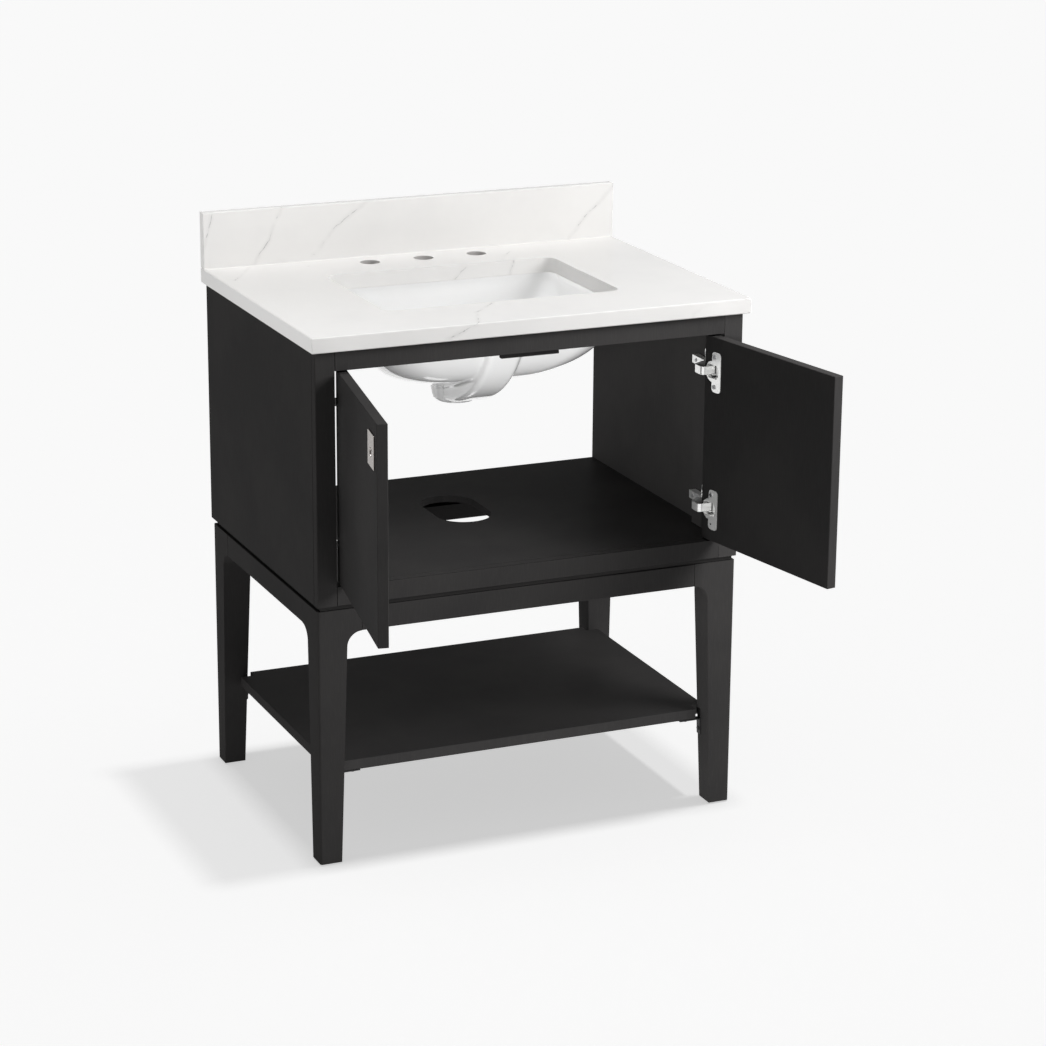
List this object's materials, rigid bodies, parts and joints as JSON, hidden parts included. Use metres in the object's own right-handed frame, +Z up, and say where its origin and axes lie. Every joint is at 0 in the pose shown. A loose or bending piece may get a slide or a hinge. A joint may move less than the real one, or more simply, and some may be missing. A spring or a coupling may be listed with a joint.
{
  "type": "vanity unit",
  "caption": "Bathroom vanity unit with stone top, undermount basin, inset double-door cabinet and open stand with a lower shelf.",
  "frame": {"origin": "on the floor, at the wall, in the middle of the unit's width", "axes": "+X to the right seen from the front, +Y towards the wall, +Z up; the doors are on the -Y side"},
  "size_m": [0.8014, 0.8809, 1.014],
  "materials": {
    "stone": "polished warm white engineered stone with a few thin grey veins",
    "china": "glossy white glaze",
    "wood": "satin black-charcoal lacquer on wood",
    "nickel": "bright nickel plate",
    "steel": "zinc-plated",
    "black_steel": "satin black paint on steel",
    "plastic": "matt"
  },
  "bodies": {
    "cabinet": {"countertop": "stone", "backsplash": "stone", "sink_basin": "china", "sink_clips": "steel", "clip_studs": "steel", "left_side_panel": "wood", "right_side_panel": "wood", "left_stile": "wood", "right_stile": "wood", "top_rail": "wood", "bottom_rail": "wood", "floor_panel": "wood", "back_top_rail": "wood", "back_bottom_rail": "wood", "left_hinge_cleat": "wood", "right_hinge_cleat": "wood", "corner_blocks": "wood", "door_stop": "wood", "spacer_frame": "wood", "front_left_leg": "wood", "front_right_leg": "wood", "rear_left_leg": "wood", "rear_right_leg": "wood", "front_apron": "wood", "back_apron": "wood", "left_apron": "wood", "right_apron": "wood", "stand_corner_blocks": "wood", "cabinet_bolts": "steel", "lower_shelf": "wood", "shelf_brackets": "black_steel", "shelf_screws": "black_steel", "leg_glides": "plastic", "left_hinge_arms": "nickel", "left_hinge_plates": "nickel", "left_plate_screws": "steel", "left_arm_screws": "steel", "right_hinge_arms": "nickel", "right_hinge_plates": "nickel", "right_plate_screws": "steel", "right_arm_screws": "steel"},
    "left_leaf": {"left_door": "wood", "left_pull": "nickel", "left_hinge_cups": "nickel", "left_hinge_pins": "steel", "left_cup_screws": "steel"},
    "right_leaf": {"right_door": "wood", "right_pull": "nickel", "right_hinge_cups": "nickel", "right_hinge_pins": "steel", "right_cup_screws": "steel"}
  },
  "joints": [
    {"name": "left_door_swing", "type": "hinge", "parent": "cabinet", "child": "left_leaf", "pos_m": [-0.335, -0.551, 0.67], "axis": [0, 0, -1], "range_deg": [-100, 5]},
    {"name": "right_door_swing", "type": "hinge", "parent": "cabinet", "child": "right_leaf", "pos_m": [0.335, -0.551, 0.67], "axis": [0, 0, 1], "range_deg": [-100, 5]}
  ]
}
